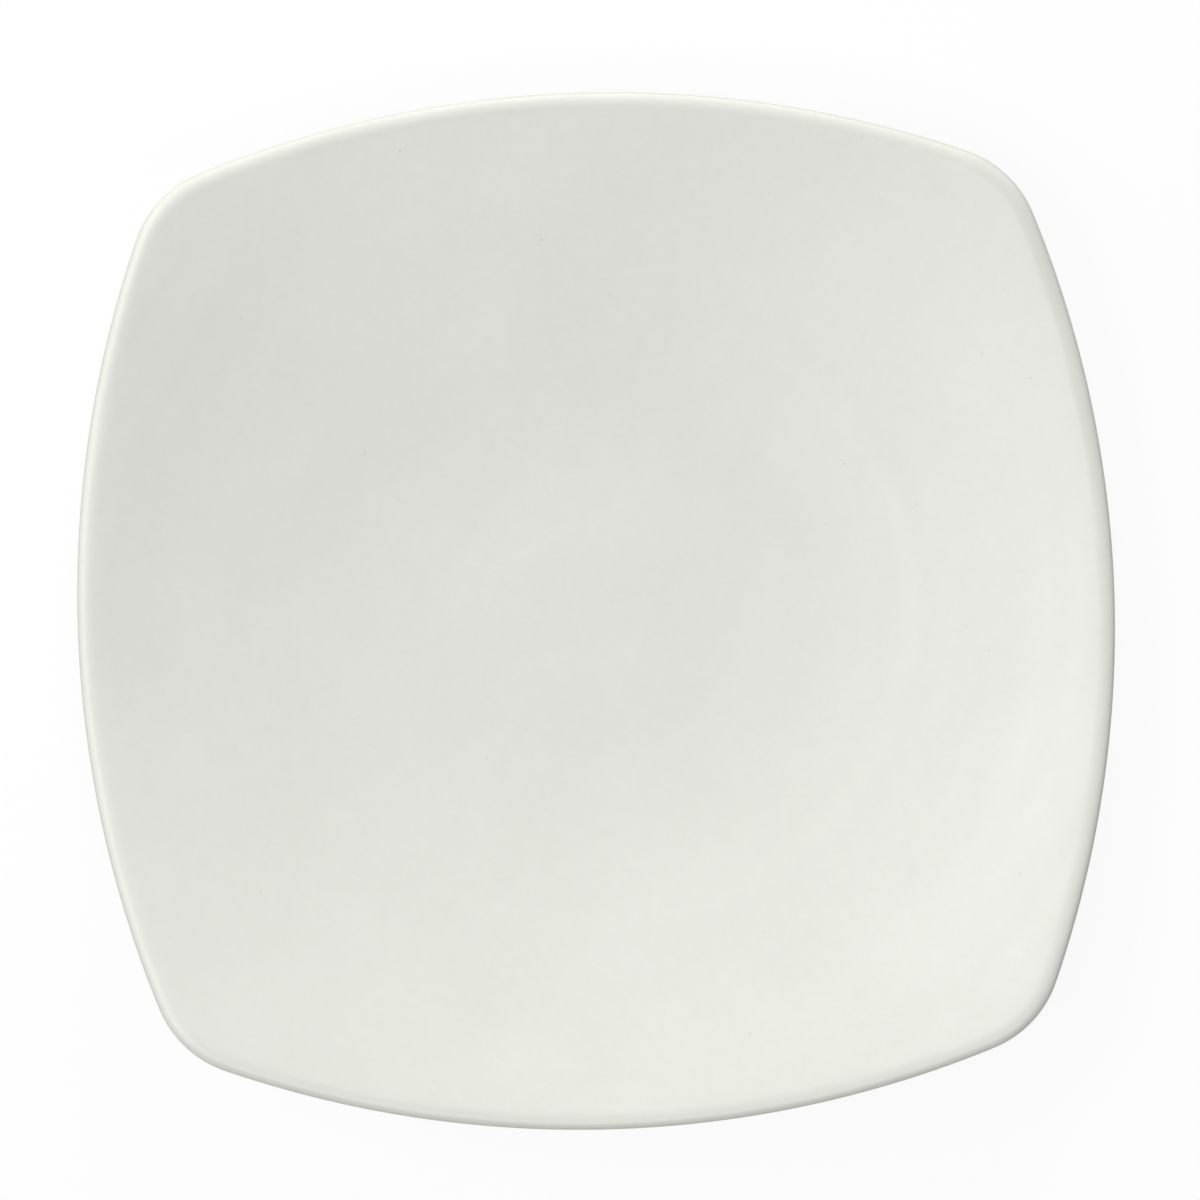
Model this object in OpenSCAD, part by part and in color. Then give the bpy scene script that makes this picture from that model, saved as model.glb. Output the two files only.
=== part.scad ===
// Rounded-square coupe plate in glazed stoneware.
// A fired clay body, dished and drawn out into four bowed sides, carries two coats of glaze:
// one over its face, lip and back, and one inside the foot ring. The edge that it stands on is bare clay.
// The plate stands on z = 0 with its middle on the Z axis and its sides square to X and Y.

/* [Outline] */
// Width of the plate across the middles of opposite sides
width = 270; // [220:1:320]
// Radius of the long bow of each side
side_radius = 277; // [250:1:500]
// Radius of each rounded corner
corner_radius = 29; // [20:1:45]

/* [Dish] */
// Diameter of the flat floor in the middle
floor_d = 60; // [40:1:90]
// Width of the curve up from the floor to the wall
verge_w = 46; // [30:1:60]
// Width of the wall, from that curve out to the flare
wall_w = 28; // [15:1:35]
// Width of the flare, from the wall out to the brim
flare_w = 14; // [5:1:20]
// Slope of the wall where it leaves the floor's curve, in degrees
verge_angle = 10; // [5:0.5:13]
// Slope of the wall where it starts to flare, in degrees
wall_angle = 12.5; // [6:0.5:18]
// Slope of the brim, in degrees
brim_angle = 16; // [8:0.5:24]
// Thickness of the base, glaze included
base_t = 5.4; // [4:0.1:8]

/* [Lip] */
// Thickness of the wall at the lip, glaze included
lip_t = 5; // [4:0.1:7]
// Height from the face of the wall down to the outermost line of the lip
lip_drop = 3; // [1.5:0.1:3.5]
// Distance over which the face rounds down to that line
face_roll = 5; // [3:0.5:12]
// Distance over which the back rounds up to that line
back_roll = 4; // [2:0.5:10]

/* [Foot ring] */
// Outside diameter of the edge that the plate stands on
foot_d = 143; // [110:1:160]
// Width of that edge
foot_w = 3.4; // [2:0.1:6]
// Rounding of that edge's two rims
foot_round = 0.5; // [0.2:0.1:0.9]
// Width of the cove from the foot ring to the back, outside it and inside it
foot_cove = 4.5; // [3:0.1:8]
// Height of the underside's middle above the table
foot_clearance = 2.2; // [1:0.1:4]

/* [Glaze] */
// Thickness of the glaze
glaze_t = 0.3; // [0.1:0.05:0.5]
// Height of the bare clay above the table
bare_h = 1.2; // [1:0.1:2]
// Width of the step in the clay at which the glaze stops
bare_step = 0.3; // [0.2:0.1:0.6]

/* [Hidden] */

// Steps of the mesh round each half side and each corner, and along each stretch of the section
half_side_steps = 6;
corner_steps = 6;
verge_steps = 5;
wall_steps = 6;
face_roll_steps = 4;
back_roll_steps = 3;
cove_steps = 4;
recess_steps = 5;

// Length by which the bare edge is let up into the foot ring, so that the two are one solid
edge_lap = 1;

// The clay's own sizes lie one thickness of glaze inside the finished ones
half_w = width / 2 - glaze_t;
clay_base_t = base_t - 2 * glaze_t;
clay_lip_t = lip_t - 2 * glaze_t;
clay_lip_drop = lip_drop - glaze_t;
clay_face_roll = face_roll - glaze_t;
clay_back_roll = back_roll - glaze_t;
clay_floor_z = foot_clearance + base_t - glaze_t;

floor_r = floor_d / 2;
foot_r = foot_d / 2;
foot_inner_r = foot_r - foot_w;

// The foot ring's coves run from the step at the bare edge to the back
outer_step_r = foot_r + bare_step;
outer_cove_r = outer_step_r + foot_cove;
inner_step_r = foot_inner_r - bare_step;
inner_cove_r = inner_step_r - foot_cove;

// The section is round as far as the back of the foot ring, and drawn out to the outline from there
drawn_from = outer_cove_r;
drawn_to = half_w - max(clay_face_roll, clay_back_roll);

// A side's arc is centred on its axis and a corner's on the diagonal, and they meet in line
side_centre = width / 2 - side_radius;
centre_gap = side_radius - corner_radius;
corner_centre = (side_centre + sqrt(2 * pow(centre_gap, 2) - pow(side_centre, 2))) / 2;
side_sweep = atan2(corner_centre, corner_centre - side_centre);

function mix(a, b, share) = a + (b - a) * share;
function clamped(x) = min(1, max(0, x));

// The outline of the clay in the first quarter, from the middle of the +X side
function quarter_outline() = [
    for (i = [0 : half_side_steps - 1])
        let (turn = side_sweep * i / half_side_steps)
        [side_centre, 0] + (side_radius - glaze_t) * [cos(turn), sin(turn)],
    for (i = [0 : corner_steps - 1])
        let (turn = mix(side_sweep, 90 - side_sweep, i / corner_steps))
        [corner_centre, corner_centre] + (corner_radius - glaze_t) * [cos(turn), sin(turn)],
    for (i = [0 : half_side_steps - 1])
        let (turn = 90 - side_sweep * (1 - i / half_side_steps))
        [0, side_centre] + (side_radius - glaze_t) * [cos(turn), sin(turn)],
];

// Every spoke round the plate, as its direction and how far it reaches past the middle of a side
spokes = [
    for (quarter = [0 : 3])
        for (p = quarter_outline())
            [atan2(p.y, p.x) + 90 * quarter, norm(p) - half_w],
];

// The radii at which the dish's slope turns, and the slopes there: it changes evenly from each to the next
wall_r = floor_r + verge_w;
flare_r = wall_r + wall_w;
brim_r = flare_r + flare_w;
dish_turns = [
    [floor_r, 0],
    [wall_r, tan(verge_angle)],
    [flare_r, tan(wall_angle)],
    [brim_r, tan(brim_angle)],
];

// Height of the dish above its floor, added up from turn to turn. Past the last it climbs at a steady slope.
function climb(from, to, r) =
    let (share = clamped((r - from.x) / (to.x - from.x)))
    (to.x - from.x) * share * (from.y + mix(from.y, to.y, share)) / 2;
function rise(r, turn = 0) =
    turn == len(dish_turns) - 1
        ? dish_turns[turn].y * max(0, r - dish_turns[turn].x)
        : climb(dish_turns[turn], dish_turns[turn + 1], r) + rise(r, turn + 1);

function face_z(r) = clay_floor_z + rise(r);
function clay_t(r) = mix(clay_base_t, clay_lip_t, clamped((r - drawn_from) / (half_w - drawn_from)));
function back_z(r) = face_z(r) - clay_t(r);

// The section of the clay across the middle of a side, as [radius, height], in two runs.
// The first goes out over the face, round the lip and in along the back to the step on the foot ring.
face_section = [
    for (i = [0 : verge_steps])
        let (r = mix(floor_r, wall_r, i / verge_steps))
        [r, face_z(r)],
    for (i = [1 : wall_steps])
        let (r = mix(wall_r, half_w - clay_face_roll, i / wall_steps))
        [r, face_z(r)],
];
lip_section = [
    for (i = [1 : face_roll_steps])
        let (turn = 90 * i / face_roll_steps, r = half_w - clay_face_roll * (1 - sin(turn)))
        [r, face_z(r) - clay_lip_drop * (1 - cos(turn))],
    for (i = [1 : back_roll_steps])
        let (turn = 90 * i / back_roll_steps, r = half_w - clay_back_roll * (1 - cos(turn)))
        [r, back_z(r) + (clay_lip_t - clay_lip_drop) * (1 - sin(turn))],
];
back_section = [
    for (i = [1 : wall_steps])
        let (r = mix(half_w - clay_back_roll, outer_cove_r, i / wall_steps))
        [r, back_z(r)],
];
outer_cove_section = [
    for (i = [1 : cove_steps])
        let (turn = 90 * i / cove_steps, r = outer_cove_r - foot_cove * sin(turn))
        [r, mix(bare_h, back_z(r), cos(turn))],
];

// The second goes from the step inside the foot ring to the middle of the underside
inner_cove_section = [
    for (i = [0 : cove_steps])
        let (turn = 90 * (1 - i / cove_steps), r = inner_cove_r + foot_cove * sin(turn))
        [r, mix(bare_h, back_z(r), cos(turn))],
];
recess_section = [
    for (i = [1 : recess_steps - 1])
        let (r = inner_cove_r * (1 - i / recess_steps))
        [r, back_z(r)],
];

// A point of the section on a spoke: past the foot ring it moves out with the outline, and so up the dish
function on_spoke(p, spoke) =
    let (
        drawn_share = clamped((p.x - drawn_from) / (drawn_to - drawn_from)),
        r = p.x + drawn_share * spoke[1]
    )
    [r * cos(spoke[0]), r * sin(spoke[0]), p.y + rise(r) - rise(p.x)];
function rings_of(section) = [for (p = section) [for (spoke = spokes) on_spoke(p, spoke)]];

main_rings = rings_of(concat(face_section, lip_section, back_section, outer_cove_section));
recess_rings = rings_of(concat(inner_cove_section, recess_section));
face_middle = [0, 0, clay_floor_z];
back_middle = [0, 0, clay_floor_z - clay_base_t];

// Rings of points lifted off the clay by the glaze, each point along the normal of the surface there
function unit(v) = v / norm(v);
function normal_at(rings, ring, i) =
    let (
        count = len(rings[ring]),
        round = rings[ring][(i + 1) % count] - rings[ring][(i + count - 1) % count],
        onward = rings[min(ring + 1, len(rings) - 1)][i] - rings[max(ring - 1, 0)][i]
    )
    unit(cross(onward, round));
function glazed(rings) = [
    for (ring = [0 : len(rings) - 1])
        [for (i = [0 : len(rings[ring]) - 1]) rings[ring][i] + glaze_t * normal_at(rings, ring, i)],
];
function reversed(list) = [for (i = [len(list) - 1 : -1 : 0]) list[i]];

// A closed skin through a middle point, rings of equally many points, and another middle point
module skin(first, rings, last) {
    count = len(rings[0]);
    end = 1 + count * len(rings);
    function at(ring, i) = 1 + count * ring + i % count;
    polyhedron(
        points = [first, for (ring = rings) each ring, last],
        faces = [
            for (i = [0 : count - 1]) [0, at(0, i + 1), at(0, i)],
            for (ring = [0 : len(rings) - 2])
                for (i = [0 : count - 1])
                    each [
                        [at(ring, i), at(ring, i + 1), at(ring + 1, i + 1)],
                        [at(ring, i), at(ring + 1, i + 1), at(ring + 1, i)],
                    ],
            for (i = [0 : count - 1]) [end, at(len(rings) - 1, i), at(len(rings) - 1, i + 1)],
        ]
    );
}

// The bare edge that the plate stands on, flat underneath with two rounded rims
module standing_edge() {
    rotate_extrude() {
        translate([foot_inner_r, foot_round]) square([foot_w, bare_h + edge_lap - foot_round]);
        translate([foot_inner_r + foot_round, 0]) square([foot_w - 2 * foot_round, foot_round]);
        for (r = [foot_inner_r + foot_round, foot_r - foot_round])
            translate([r, foot_round]) circle(r = foot_round);
    }
}

// The fired clay: dish, lip and foot ring in one piece
module clay_body() {
    color("#ece6d8") union() {
        skin(face_middle, concat(main_rings, recess_rings), back_middle);
        standing_edge();
    }
}

// The glaze over the face, round the lip and down the back to the step on the foot ring
module main_glaze() {
    color("#e2e3dc") skin(
        face_middle + [0, 0, glaze_t],
        concat(glazed(main_rings), reversed(main_rings)),
        face_middle
    );
}

// The glaze over the underside inside the foot ring
module foot_recess_glaze() {
    color("#e2e3dc") skin(
        back_middle,
        concat(reversed(recess_rings), glazed(recess_rings)),
        back_middle - [0, 0, glaze_t]
    );
}

clay_body();
main_glaze();
foot_recess_glaze();
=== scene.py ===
"""A rounded-square coupe plate in glazed stoneware: its fired clay and its two coats of glaze.

The clay is drawn out from its outline as a flat blank, pressed into the dish and given its foot ring.
Each coat of glaze is then laid on the clay that it covers. Heights are above the table.
"""

import math

import bpy
from mathutils import Euler, Matrix, Vector


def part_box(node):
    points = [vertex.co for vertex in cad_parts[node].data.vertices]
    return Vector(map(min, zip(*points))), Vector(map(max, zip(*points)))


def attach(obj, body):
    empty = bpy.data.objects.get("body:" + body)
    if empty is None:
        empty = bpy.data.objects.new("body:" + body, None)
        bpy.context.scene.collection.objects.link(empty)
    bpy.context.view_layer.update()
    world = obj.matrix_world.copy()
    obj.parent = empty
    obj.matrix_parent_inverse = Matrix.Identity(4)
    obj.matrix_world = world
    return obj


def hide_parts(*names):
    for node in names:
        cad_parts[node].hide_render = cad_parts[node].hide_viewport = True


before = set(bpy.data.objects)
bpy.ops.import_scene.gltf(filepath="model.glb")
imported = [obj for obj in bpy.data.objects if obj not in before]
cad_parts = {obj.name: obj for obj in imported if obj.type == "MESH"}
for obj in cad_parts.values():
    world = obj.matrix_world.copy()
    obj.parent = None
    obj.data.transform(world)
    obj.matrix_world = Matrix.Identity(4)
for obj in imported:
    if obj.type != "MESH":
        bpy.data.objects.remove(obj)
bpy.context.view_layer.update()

MM = 0.001

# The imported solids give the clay's half width, the glaze's thickness, and where the glaze stops at the foot
clay_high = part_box("clay_body")[1]
glaze_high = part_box("main_glaze")[1]
recess_low, recess_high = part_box("foot_recess_glaze")
HALF_W = clay_high.x
GLAZE_T = glaze_high.x - clay_high.x
BARE_H = recess_low.z
INNER_STEP_R = recess_high.x

# Outline of the clay: the radii of its bowed sides and of its corners
SIDE_R = 277 * MM - GLAZE_T
CORNER_R = 29 * MM - GLAZE_T

# The dish: its floor's height, and the slopes that it has reached at these radii, changing evenly between
FLOOR_Z = 7.3 * MM
DISH_TURNS = (
    (30 * MM, 0),
    (76 * MM, math.tan(math.radians(10))),
    (104 * MM, math.tan(math.radians(12.5))),
    (118 * MM, math.tan(math.radians(16))),
)

# The wall of clay: its thickness at the base and at the lip, and the rounding of the lip to its parting line
BASE_T = 4.8 * MM
LIP_T = 4.4 * MM
LIP_DROP = 2.7 * MM
FACE_ROLL = 4.7 * MM
BACK_ROLL = 3.7 * MM
NOSE_H = 0.3 * MM

# The foot ring: the edge that the plate stands on, the step where the glaze stops, and the coves beside it
FOOT_W = 3.4 * MM
FOOT_ROUND = 0.5 * MM
STEP_W = 0.3 * MM
COVE_W = 4.5 * MM
FOOT_INNER_R = INNER_STEP_R + STEP_W
FOOT_R = FOOT_INNER_R + FOOT_W
OUTER_STEP_R = FOOT_R + STEP_W
OUTER_COVE_R = OUTER_STEP_R + COVE_W
INNER_COVE_R = INNER_STEP_R - COVE_W
FOOT_MIDDLE_R = (FOOT_R + FOOT_INNER_R) / 2

# Steps of the mesh round each half side and each corner, and along each stretch of the section
HALF_SIDE_STEPS = 12
CORNER_STEPS = 8
FACE_ROLL_STEPS = 8
BACK_ROLL_STEPS = 6
WALL_STEPS = 8
VERGE_STEPS = 7
COVE_STEPS = 6
RECESS_STEPS = 5
FOOT_ROUND_STEPS = 3

# Points closer than this count as one, and edges that turn more than this stay crisp
HAIR = 0.02 * MM
CRISP = math.radians(40)


def rise(radius):
    """Height of the dish above its floor"""
    height = 0
    for (start, slope), (end, next_slope) in zip(DISH_TURNS, DISH_TURNS[1:]):
        share = min(1, max(0, (radius - start) / (end - start)))
        reached = slope + (next_slope - slope) * share
        height += (end - start) * share * (slope + reached) / 2
    last, brim_slope = DISH_TURNS[-1]
    return height + brim_slope * max(0, radius - last)


def face_z(radius):
    """Height of the clay's face"""
    return FLOOR_Z + rise(radius)


def back_z(radius):
    """Height of the clay's back, as far out as the foot ring"""
    return face_z(radius) - BASE_T


def radius_of(point):
    """Distance of a point from the plate's axis"""
    return math.hypot(point.x, point.y)


def activate(piece):
    """Makes a piece the only one that is selected"""
    bpy.ops.object.select_all(action="DESELECT")
    piece.select_set(True)
    bpy.context.view_layer.objects.active = piece


def select(piece, kind, test):
    """Selects the edges or faces of a piece whose corner points pass a test"""
    bpy.ops.mesh.select_mode(type=kind)
    bpy.ops.mesh.select_all(action="DESELECT")
    bpy.ops.object.mode_set(mode="OBJECT")
    mesh = piece.data
    for part in {"EDGE": mesh.edges, "FACE": mesh.polygons}[kind]:
        part.select = test([mesh.vertices[corner].co for corner in part.vertices])
    bpy.ops.object.mode_set(mode="EDIT")


def middle_of(points):
    """Middle of some points"""
    return sum(points, Vector()) / len(points)


def finish_with(piece, kind, **settings):
    """Adds a modifier to a piece and applies it"""
    modifier = piece.modifiers.new(kind.lower(), kind)
    for name, value in settings.items():
        setattr(modifier, name, value)
    bpy.ops.object.modifier_apply(modifier=modifier.name)


def draw_outline(name):
    """Spins the clay's outline from the middle of its right side and fills it, below the parting line"""
    side_centre = HALF_W - SIDE_R
    gap = SIDE_R - CORNER_R
    corner_centre = (side_centre + math.sqrt(2 * gap**2 - side_centre**2)) / 2
    side_sweep = math.atan2(corner_centre, corner_centre - side_centre)
    arcs = (
        (HALF_SIDE_STEPS, side_sweep, Vector((side_centre, 0, 0))),
        (CORNER_STEPS, math.pi / 2 - 2 * side_sweep, Vector((corner_centre, corner_centre, 0))),
        (HALF_SIDE_STEPS, side_sweep, Vector((0, side_centre, 0))),
    )
    start = (HALF_W, 0, -LIP_DROP - NOSE_H / 2)
    bpy.ops.object.select_all(action="DESELECT")
    bpy.ops.mesh.primitive_plane_add(size=NOSE_H, location=start)
    piece = bpy.context.object
    piece.name = piece.data.name = name
    bpy.ops.object.transform_apply(location=True)
    bpy.ops.object.mode_set(mode="EDIT")
    bpy.ops.mesh.merge(type="CENTER")
    for quarter in range(4):
        turned = Matrix.Rotation(quarter * math.pi / 2, 3, "Z")
        for steps, angle, centre in arcs:
            bpy.ops.mesh.spin(steps=steps, angle=angle, center=turned @ centre, axis=(0, 0, -1))
    bpy.ops.mesh.select_all(action="SELECT")
    bpy.ops.mesh.remove_doubles(threshold=HAIR)
    bpy.ops.mesh.edge_face_add()
    return piece


def roll_lip(width, height, steps):
    """Insets the selected face along a quarter of an ellipse, from the parting line to the wall"""
    turns = [math.pi / 2 * step / steps for step in range(steps + 1)]
    for turn, next_turn in zip(turns, turns[1:]):
        inward = width * (math.cos(turn) - math.cos(next_turn))
        onward = height * (math.sin(next_turn) - math.sin(turn))
        bpy.ops.mesh.inset(thickness=inward, depth=onward)


def draw_round(piece, thicken):
    """Draws the selected face in to a circle above the foot ring's cove, and steps the wall that is left"""
    bpy.ops.mesh.extrude_region_move(TRANSFORM_OT_translate={"value": (0, 0, -thicken)})
    bpy.ops.transform.tosphere(value=1)
    bpy.ops.object.mode_set(mode="OBJECT")
    reach = max(radius_of(corner.co) for corner in piece.data.vertices if corner.select)
    bpy.ops.object.mode_set(mode="EDIT")
    bpy.ops.transform.resize(value=(OUTER_COVE_R / reach, OUTER_COVE_R / reach, 1))
    wall_w = HALF_W - FACE_ROLL - OUTER_COVE_R
    select(piece, "EDGE", lambda ends: abs(radius_of(ends[0]) - radius_of(ends[1])) > wall_w / 2)
    bpy.ops.mesh.subdivide(number_cuts=WALL_STEPS - 1)


def press(piece):
    """Presses the flat blank into the dish"""
    bpy.ops.object.mode_set(mode="OBJECT")
    for corner in piece.data.vertices:
        corner.co.z += face_z(radius_of(corner.co))
    bpy.ops.object.mode_set(mode="EDIT")


def extrude_through(rings):
    """Extrudes the selected round face from ring to ring, each a radius and a height, and closes the last"""
    for (radius, height), (next_radius, next_height) in zip(rings, rings[1:]):
        onward = (0, 0, next_height - height)
        bpy.ops.mesh.extrude_region_move(TRANSFORM_OT_translate={"value": onward})
        share = next_radius / radius
        bpy.ops.transform.resize(value=(share, share, 1))
    bpy.ops.mesh.merge(type="CENTER")


def face_rings():
    """The rings of the face, from the wall in to the middle of the floor"""
    floor_r = DISH_TURNS[0][0]
    radii = [OUTER_COVE_R + (floor_r - OUTER_COVE_R) * step / VERGE_STEPS for step in range(VERGE_STEPS + 1)]
    radii += [floor_r * share for share in (2 / 3, 1 / 3)]
    return [(radius, face_z(radius)) for radius in radii]


def foot_rings():
    """The rings of the back, from the wall over the foot ring in to the middle"""
    turns = [math.pi / 2 * step / COVE_STEPS for step in range(COVE_STEPS + 1)]
    coves = {}
    for side, cove_r, inward in (("outer", OUTER_COVE_R, 1), ("inner", INNER_COVE_R, -1)):
        coves[side] = []
        for turn in turns:
            radius = cove_r - inward * COVE_W * math.sin(turn)
            share = math.cos(turn)
            coves[side].append((radius, BARE_H + (back_z(radius) - BARE_H) * share))
    edge = [(FOOT_R, BARE_H), (FOOT_R, 0), (FOOT_INNER_R, 0), (FOOT_INNER_R, BARE_H)]
    radii = [INNER_COVE_R * (1 - step / RECESS_STEPS) for step in range(1, RECESS_STEPS)]
    recess = [(radius, back_z(radius)) for radius in radii]
    return coves["outer"] + edge + coves["inner"][::-1] + recess


def on_ring(points, radii, height):
    """Whether all points lie at one of the radii and at the height"""
    level = all(abs(point.z - height) < HAIR for point in points)
    return level and any(all(abs(radius_of(point) - radius) < HAIR for point in points) for radius in radii)


def is_end(points):
    """Whether a face is an open end of the piece, with more corners than the quads beside it"""
    return len(points) > 4


def shape_clay():
    """The fired clay: dish, lip and foot ring in one piece, with a step where the glaze stops"""
    piece = draw_outline("fired_clay")
    bpy.ops.mesh.extrude_region_move(TRANSFORM_OT_translate={"value": (0, 0, NOSE_H)})
    bpy.ops.mesh.select_all(action="SELECT")
    bpy.ops.mesh.normals_make_consistent(inside=False)
    select(piece, "FACE", lambda points: is_end(points) and points[0].z > -LIP_DROP)
    roll_lip(FACE_ROLL, LIP_DROP - NOSE_H / 2, FACE_ROLL_STEPS)
    draw_round(piece, 0)
    select(piece, "FACE", lambda points: is_end(points) and points[0].z < -LIP_DROP)
    roll_lip(BACK_ROLL, LIP_T - LIP_DROP - NOSE_H / 2, BACK_ROLL_STEPS)
    draw_round(piece, BASE_T - LIP_T)
    press(piece)
    select(piece, "FACE", lambda points: is_end(points) and points[0].z > face_z(OUTER_COVE_R) - HAIR)
    extrude_through(face_rings())
    select(piece, "FACE", is_end)
    extrude_through(foot_rings())
    select(piece, "EDGE", lambda ends: on_ring(ends, (FOOT_R, FOOT_INNER_R), 0))
    bpy.ops.mesh.bevel(offset=FOOT_ROUND, segments=FOOT_ROUND_STEPS)
    step_radii = (OUTER_STEP_R, FOOT_R, FOOT_INNER_R, INNER_STEP_R)
    select(piece, "EDGE", lambda ends: on_ring(ends, step_radii, BARE_H))
    bpy.ops.transform.edge_crease(value=1)
    bpy.ops.mesh.select_all(action="SELECT")
    bpy.ops.mesh.normals_make_consistent(inside=False)
    bpy.ops.object.mode_set(mode="OBJECT")
    finish_with(piece, "SUBSURF", levels=1, render_levels=1)
    bpy.ops.object.shade_smooth_by_angle(angle=CRISP)
    return piece


def is_recess(middle):
    """Whether a face of the clay is underneath, inside the foot ring and above the step"""
    inside = radius_of(middle) < FOOT_MIDDLE_R and middle.z < FLOOR_Z - BASE_T / 2
    return inside and middle.z > BARE_H + HAIR


def is_main(middle):
    """Whether a face of the clay is glazed and outside the recess"""
    return middle.z > BARE_H + HAIR and not is_recess(middle)


def lay_glaze(name, clay, covers):
    """A coat of glaze, of even thickness, on the faces of the clay that it covers"""
    activate(clay)
    bpy.ops.object.duplicate()
    piece = bpy.context.object
    piece.name = piece.data.name = name
    bpy.ops.object.mode_set(mode="EDIT")
    select(piece, "FACE", lambda points: not covers(middle_of(points)))
    bpy.ops.mesh.delete(type="FACE")
    bpy.ops.object.mode_set(mode="OBJECT")
    finish_with(piece, "SOLIDIFY", thickness=GLAZE_T, offset=1, use_even_offset=True)
    bpy.ops.object.shade_smooth_by_angle(angle=CRISP)
    return piece


clay = shape_clay()
main_coat = lay_glaze("main_glaze_coat", clay, is_main)
recess_coat = lay_glaze("recess_glaze_coat", clay, is_recess)


# Colours of the glaze, of the same where it is thin over the clay and at the lip's turn, where it is partly
# painted shade, of its specks, and of the bare clay
GLAZE_DEEP = (0.688, 0.696, 0.644, 1)
GLAZE_PALE = (0.752, 0.760, 0.708, 1)
# Darker and warmer: thin glaze, and over the lip partly painted shade of the rim
GLAZE_THIN_AND_SHADE = (0.60, 0.588, 0.517, 1)
SPECK = (0.30, 0.24, 0.17, 1)
CLAY_DEEP = (0.60, 0.555, 0.47, 1)
CLAY_PALE = (0.72, 0.685, 0.61, 1)
CLAY_RUBBED = (0.50, 0.48, 0.44, 1)
GROG = (0.28, 0.22, 0.16, 1)

# The glaze is drawn darker and warmer as the lip turns from nearly level to steep, between two radii: partly
# its thinning there and partly painted shade of the rim. It is drawn thin near the bare edge too
LEVEL_TURN = 0.95
STEEP_TURN = 0.55
THIN_AND_SHADE_START_R = 95 * MM
THIN_AND_SHADE_FULL_R = 110 * MM
THIN_FOOT_H = BARE_H + 0.7 * MM

# The glaze's patterns: their sizes, how high some of them raise it, and how much of each goes into its tone.
# Each averages a half, and the tone starts from where their sum does too.
CLOUD_SIZE = 28 * MM
WAVE_SIZE = 14 * MM
PEEL_SIZE = 3 * MM
GRAIN_SIZE = 0.8 * MM
RING_W = 11 * MM
WAVE_RELIEF = 0.16 * MM
PEEL_RELIEF = 0.025 * MM
RING_RELIEF = 0.14 * MM
CLOUD_TONE = 0.65
PEEL_TONE = 0.45
GRAIN_TONE = 0.5
TONE_START = 0.5 - (CLOUD_TONE + PEEL_TONE + GRAIN_TONE) / 2

# The clay's patterns: their sizes, and how high some of them raise it
BLOTCH_SIZE = 9 * MM
SAND_SIZE = 0.6 * MM
SCORE_W = 0.8 * MM
SAND_RELIEF = 0.08 * MM
SCORE_RELIEF = 0.03 * MM

# The glaze's specks and the clay's grog: the cells they lie in, their radius, and the share of cells with one
SPECK_CELLS = {"Spacing": 6 * MM, "Radius": 0.35 * MM, "Kept": 0.12}
GROG_CELLS = {"Spacing": 1.8 * MM, "Radius": 0.16 * MM, "Kept": 0.3}

# The clay is rubbed below this height, and fully so below the next
RUBBED_START_H = 0.35 * MM
RUBBED_FULL_H = 0.05 * MM

# How strongly the specks, the grog and the rubbing show
SPECK_STRENGTH = 0.35
GROG_STRENGTH = 0.6
RUBBED_STRENGTH = 0.4

# How rough the glaze and the clay are, how far each swings, and how much smoother the rubbed clay is
GLAZE_ROUGHNESS = 0.292
GLAZE_ROUGHNESS_SWING = 0.014
CLAY_ROUGHNESS = 0.86
CLAY_ROUGHNESS_SWING = 0.1
RUBBED_SMOOTHER = 0.15


def feed(tree, socket, source):
    """Feeds a socket from another one, or gives it a value of its own"""
    if isinstance(source, bpy.types.NodeSocket):
        tree.links.new(source, socket)
    else:
        socket.default_value = source


def place(tree, kind, sources, **settings):
    """A new node with its settings and what its sockets are fed, each named by its identifier"""
    node = tree.nodes.new(kind)
    for name, value in settings.items():
        setattr(node, name, value)
    for name, source in sources.items():
        socket = next(socket for socket in node.inputs if name in (socket.identifier, socket.name))
        feed(tree, socket, source)
    return node


def calculate(tree, operation, *sources):
    """The result of a sum"""
    node = tree.nodes.new("ShaderNodeMath")
    node.operation = operation
    for socket, source in zip(node.inputs, sources):
        feed(tree, socket, source)
    return node.outputs["Value"]


def ease(tree, value, start, end):
    """A share that rises softly from 0 at the start to 1 at the end"""
    sources = {"Value": value, "From Min": start, "From Max": end}
    return place(tree, "ShaderNodeMapRange", sources, interpolation_type="SMOOTHSTEP").outputs["Result"]


def swing(tree, share, middle, reach):
    """A value that a share carries from a reach below its middle to a reach above it"""
    return calculate(tree, "MULTIPLY_ADD", share, 2 * reach, middle - reach)


def height_in(tree, vector):
    """The Z part of a vector"""
    return place(tree, "ShaderNodeSeparateXYZ", {"Vector": vector}).outputs["Z"]


def radius_in(tree, vector):
    """How far a vector reaches out from the Z axis"""
    sources = {"Vector": vector, "Vector_001": (1, 1, 0)}
    flat = place(tree, "ShaderNodeVectorMath", sources, operation="MULTIPLY").outputs["Vector"]
    return place(tree, "ShaderNodeVectorMath", {"Vector": flat}, operation="LENGTH").outputs["Value"]


def blend(tree, share, first, second):
    """The colour that a share mixes from two"""
    sources = {"Factor_Float": share, "A_Color": first, "B_Color": second}
    node = place(tree, "ShaderNodeMix", sources, data_type="RGBA")
    return next(socket for socket in node.outputs if socket.identifier == "Result_Color")


def new_group(name, values, result):
    """An empty node group that takes a vector and some values and gives one result, with its two ends"""
    group = bpy.data.node_groups.new(name, "ShaderNodeTree")
    group.interface.new_socket("Vector", in_out="INPUT", socket_type="NodeSocketVector")
    for value in values:
        group.interface.new_socket(value, in_out="INPUT", socket_type="NodeSocketFloat")
    group.interface.new_socket(result, in_out="OUTPUT", socket_type="NodeSocketFloat")
    return group, group.nodes.new("NodeGroupInput").outputs, group.nodes.new("NodeGroupOutput").inputs


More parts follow.
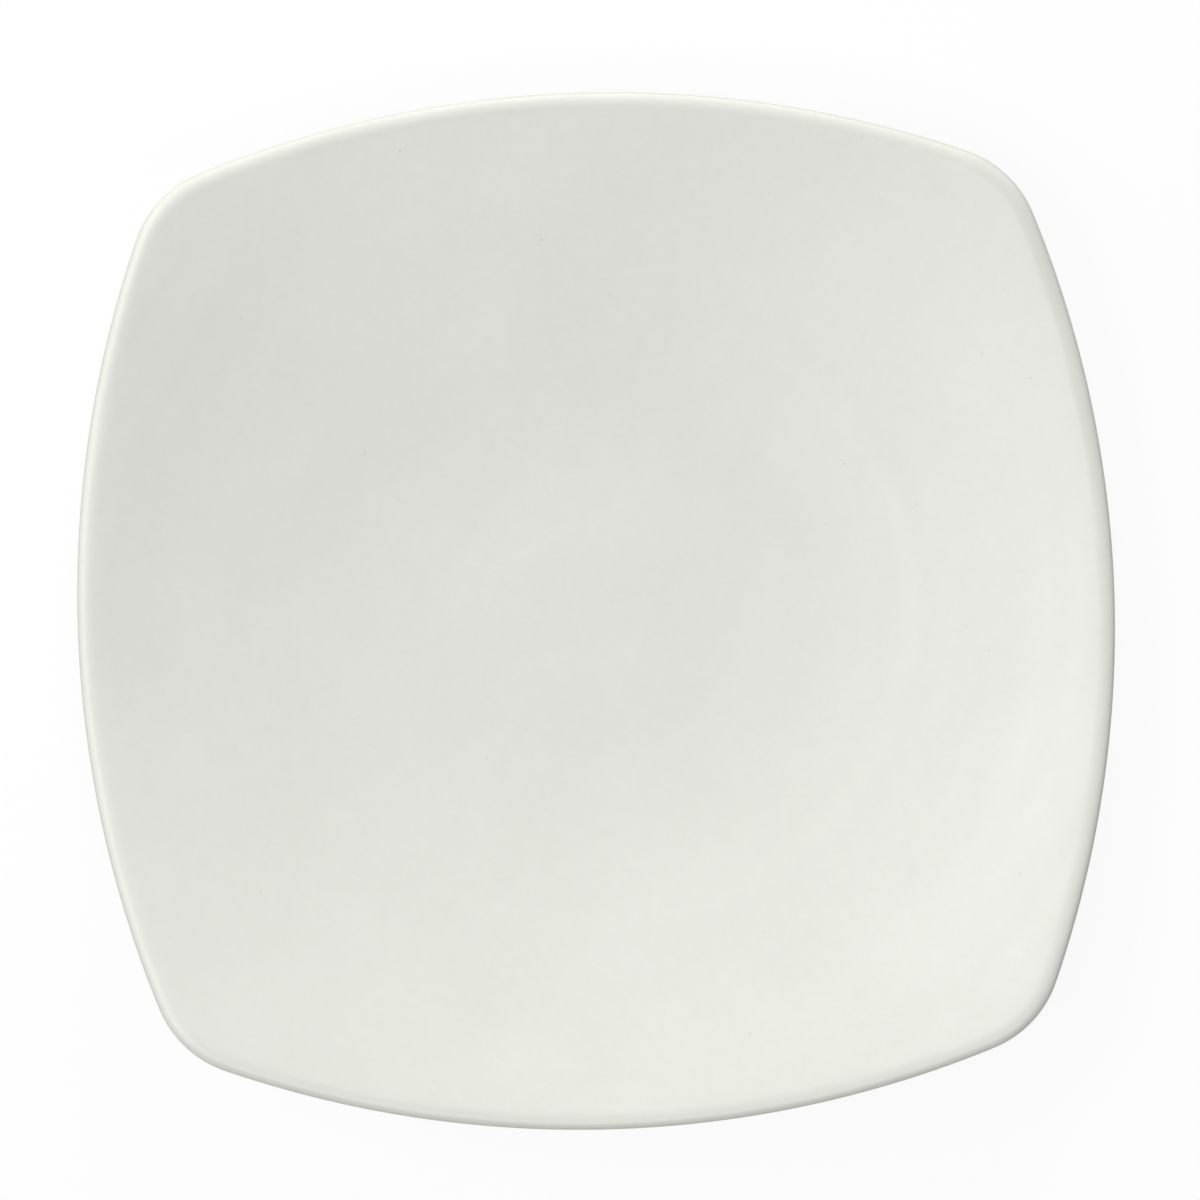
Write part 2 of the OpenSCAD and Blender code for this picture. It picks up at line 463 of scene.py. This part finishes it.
def cloud_group():
    """Soft uneven blotches of a given size"""
    group, given, made = new_group("clouds", ("Size",), "Share")
    scale = calculate(group, "DIVIDE", 1, given["Size"])
    noise = place(group, "ShaderNodeTexNoise", {"Vector": given["Vector"], "Scale": scale, "Detail": 2})
    feed(group, made["Share"], noise.outputs["Fac"])
    return group


def ring_group():
    """Uneven rings round the Z axis, of a given width, as turning leaves them"""
    group, given, made = new_group("turned_rings", ("Width",), "Share")
    scale = calculate(group, "DIVIDE", 1, given["Width"])
    sources = {"W": radius_in(group, given["Vector"]), "Scale": scale, "Detail": 1}
    noise = place(group, "ShaderNodeTexNoise", sources, noise_dimensions="1D")
    feed(group, made["Share"], noise.outputs["Fac"])
    return group


def speck_group():
    """Round specks of a given radius, in a given share of the cells of a given spacing"""
    group, given, made = new_group("specks", ("Spacing", "Radius", "Kept"), "Share")
    scale = calculate(group, "DIVIDE", 1, given["Spacing"])
    cells = place(group, "ShaderNodeTexVoronoi", {"Vector": given["Vector"], "Scale": scale})
    reach = calculate(group, "MULTIPLY", given["Radius"], scale)
    speck = ease(group, cells.outputs["Distance"], reach, calculate(group, "MULTIPLY", reach, 0.5))
    luck = place(group, "ShaderNodeSeparateColor", {"Color": cells.outputs["Color"]}).outputs["Red"]
    kept = calculate(group, "LESS_THAN", luck, given["Kept"])
    feed(group, made["Share"], calculate(group, "MULTIPLY", speck, kept))
    return group


clouds = cloud_group()
rings = ring_group()
specks = speck_group()


def new_material(name):
    """A plain material, with its tree and its shader"""
    material = bpy.data.materials.new(name)
    material.use_nodes = True
    tree = material.node_tree
    return material, tree, tree.nodes["Principled BSDF"]


def places_on_piece(tree):
    """The places and normals of the piece that a material is given to"""
    return tree.nodes.new("ShaderNodeTexCoord").outputs


def from_group(tree, group, sources):
    """The result of a node group"""
    return place(tree, "ShaderNodeGroup", sources, node_tree=group).outputs["Share"]


def add_up(tree, parts, total=0):
    """The sum of some shares, each times what it carries, on top of a total"""
    for share, carried in parts:
        total = calculate(tree, "MULTIPLY_ADD", share, carried, total)
    return total


def raise_surface(tree, shader, reliefs):
    """Raises a surface by the sum of some reliefs, each a share and the height that it carries"""
    bump = place(tree, "ShaderNodeBump", {"Height": add_up(tree, reliefs), "Distance": 1})
    feed(tree, shader.inputs["Normal"], bump.outputs["Normal"])


def thin_glaze_and_rim_shade(tree, spot):
    """Where the glaze is drawn thin and darker: over the turn of the lip, where this is partly thin glaze and
    partly painted shade of the rim, and down at the line where it stops
    """
    level = calculate(tree, "ABSOLUTE", height_in(tree, spot["Normal"]))
    turned = ease(tree, level, LEVEL_TURN, STEEP_TURN)
    outer = ease(tree, radius_in(tree, spot["Object"]), THIN_AND_SHADE_START_R, THIN_AND_SHADE_FULL_R)
    foot = ease(tree, height_in(tree, spot["Object"]), THIN_FOOT_H, BARE_H)
    return calculate(tree, "MAXIMUM", calculate(tree, "MULTIPLY", turned, outer), foot)


def glaze_material():
    """Satin off-white glaze: faintly cloudy, waved and specked, and darker and warmer where it is thin, which
    over the lip's turn is partly painted shade
    """
    material, tree, shader = new_material("satin_glaze")
    spot = places_on_piece(tree)
    cloud = from_group(tree, clouds, {"Vector": spot["Object"], "Size": CLOUD_SIZE})
    wave = from_group(tree, clouds, {"Vector": spot["Object"], "Size": WAVE_SIZE})
    peel = from_group(tree, clouds, {"Vector": spot["Object"], "Size": PEEL_SIZE})
    grain = from_group(tree, clouds, {"Vector": spot["Object"], "Size": GRAIN_SIZE})
    ring = from_group(tree, rings, {"Vector": spot["Object"], "Width": RING_W})
    speck = from_group(tree, specks, {"Vector": spot["Object"], **SPECK_CELLS})
    tone = add_up(tree, ((cloud, CLOUD_TONE), (peel, PEEL_TONE), (grain, GRAIN_TONE)), TONE_START)
    colour = blend(tree, tone, GLAZE_DEEP, GLAZE_PALE)
    # Over the lip's turn this darker, warmer colour is partly painted shade of the rim
    colour = blend(tree, thin_glaze_and_rim_shade(tree, spot), colour, GLAZE_THIN_AND_SHADE)
    colour = blend(tree, calculate(tree, "MULTIPLY", speck, SPECK_STRENGTH), colour, SPECK)
    feed(tree, shader.inputs["Base Color"], colour)
    feed(tree, shader.inputs["Roughness"], swing(tree, cloud, GLAZE_ROUGHNESS, GLAZE_ROUGHNESS_SWING))
    raise_surface(tree, shader, ((wave, WAVE_RELIEF), (peel, PEEL_RELIEF), (ring, RING_RELIEF)))
    return material


def clay_material():
    """Bare fired clay: sandy and dull, with darker grog, and rubbed smooth and greyer where it stands"""
    material, tree, shader = new_material("bare_clay")
    spot = places_on_piece(tree)
    blotch = from_group(tree, clouds, {"Vector": spot["Object"], "Size": BLOTCH_SIZE})
    sand = from_group(tree, clouds, {"Vector": spot["Object"], "Size": SAND_SIZE})
    score = from_group(tree, rings, {"Vector": spot["Object"], "Width": SCORE_W})
    grog = from_group(tree, specks, {"Vector": spot["Object"], **GROG_CELLS})
    rubbed = ease(tree, height_in(tree, spot["Object"]), RUBBED_START_H, RUBBED_FULL_H)
    colour = blend(tree, add_up(tree, ((blotch, 0.5), (sand, 0.5))), CLAY_DEEP, CLAY_PALE)
    colour = blend(tree, calculate(tree, "MULTIPLY", rubbed, RUBBED_STRENGTH), colour, CLAY_RUBBED)
    colour = blend(tree, calculate(tree, "MULTIPLY", grog, GROG_STRENGTH), colour, GROG)
    feed(tree, shader.inputs["Base Color"], colour)
    rough = swing(tree, sand, CLAY_ROUGHNESS, CLAY_ROUGHNESS_SWING)
    feed(tree, shader.inputs["Roughness"], add_up(tree, ((rubbed, -RUBBED_SMOOTHER),), rough))
    raise_surface(tree, shader, ((sand, SAND_RELIEF), (score, SCORE_RELIEF)))
    return material


def dress(piece, material, node):
    """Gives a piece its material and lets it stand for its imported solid"""
    piece.data.materials.append(material)
    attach(piece, "root")
    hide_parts(node)


glaze = glaze_material()
dress(clay, clay_material(), "clay_body")
dress(main_coat, glaze, "main_glaze")
dress(recess_coat, glaze, "foot_recess_glaze")


# The camera looks straight down from here, with the plate turned a little in its view
CAMERA_PLACE = (1.1 * MM, 2.8 * MM, 1600 * MM)
CAMERA_ROLL = math.radians(-1.725)
CAMERA_LENS = 181.9


def place_camera():
    """The camera above the plate"""
    bpy.ops.object.camera_add(location=CAMERA_PLACE, rotation=(0, 0, CAMERA_ROLL))
    camera = bpy.context.object
    camera.data.lens = CAMERA_LENS
    bpy.context.scene.camera = camera


def white_rays(tree):
    """The rays that find the background white: the camera's, and those of gloss and glass"""
    path = tree.nodes.new("ShaderNodeLightPath").outputs
    shiny = calculate(tree, "MAXIMUM", path["Is Glossy Ray"], path["Is Transmission Ray"])
    return calculate(tree, "MAXIMUM", path["Is Camera Ray"], shiny)


# The floor ends short of the low lamps, so that they light all of it
FLOOR_REACH = 1.85
FLOOR_STEPS = 96
FLOOR_COLOUR = (0.9, 0.9, 0.9, 1)
FLOOR_ROUGHNESS = 0.9
FLOOR_WHITE_SHARE = 0.9


def lay_floor():
    """A white floor, which the camera sees nearly as pure white with the plate's shadow on it"""
    bpy.ops.mesh.primitive_circle_add(vertices=FLOOR_STEPS, radius=FLOOR_REACH, fill_type="NGON")
    floor = bpy.context.object
    floor.name = "floor"
    material, tree, shader = new_material("white_floor")
    shader.inputs["Base Color"].default_value = FLOOR_COLOUR
    shader.inputs["Roughness"].default_value = FLOOR_ROUGHNESS
    white = tree.nodes.new("ShaderNodeEmission")
    mix = tree.nodes.new("ShaderNodeMixShader")
    share = calculate(tree, "MULTIPLY", white_rays(tree), FLOOR_WHITE_SHARE)
    for socket, source in zip(mix.inputs, (share, shader.outputs[0], white.outputs[0])):
        feed(tree, socket, source)
    feed(tree, tree.nodes["Material Output"].inputs["Surface"], mix.outputs[0])
    floor.data.materials.append(material)


# The soft round lamps: degrees from the zenith, heading, half the angle that each fills, and watts
LAMP_FAR = 1.8
LAMPS = {
    "key_lamp": (72, 86.3, 17, 25.9),
    "left_lamp": (72, 173.3, 17, 5.9),
    "upper_left_panel": (38.5, 158.3, 16.5, 9.2),
    "lower_left_panel": (27.8, 214, 14.1, 6.0),
    "lower_panel": (30, 268.3, 10, 2.3),
    "lower_right_panel": (27.9, 296.9, 11.1, 3.5),
}
WORLD_LIGHT = 0.2

# Lamps further from the zenith than this leave no glare on the glaze, which would hide the dish's far wall
LOW_TILT = 60


def hang_lamp(name, tilt, heading, spread, watts):
    """A round lamp that faces the plate"""
    bpy.ops.object.light_add(type="AREA")
    lamp = bpy.context.object
    lamp.name = name
    lamp.data.shape = "DISK"
    lamp.data.size = 2 * LAMP_FAR * math.tan(math.radians(spread))
    lamp.data.energy = watts
    away = Vector((0, 0, 1))
    away.rotate(Euler((0, math.radians(tilt), math.radians(heading))))
    lamp.location = away * LAMP_FAR
    lamp.rotation_euler = away.to_track_quat("Z", "Y").to_euler()
    lamp.visible_glossy = tilt < LOW_TILT


def light_studio():
    """Soft lamps in a room that the camera and gloss find white, and that lights the plate only a little"""
    for name, (tilt, heading, spread, watts) in LAMPS.items():
        hang_lamp(name, tilt, heading, spread, watts)
    world = bpy.data.worlds.new("studio")
    bpy.context.scene.world = world
    world.use_nodes = True
    tree = world.node_tree
    background = tree.nodes["Background"].inputs
    background["Color"].default_value = (1, 1, 1, 1)
    strength = calculate(tree, "MULTIPLY_ADD", white_rays(tree), 1 - WORLD_LIGHT, WORLD_LIGHT)
    feed(tree, background["Strength"], strength)


place_camera()
lay_floor()
light_studio()
bpy.context.scene.view_settings.view_transform = "Standard"
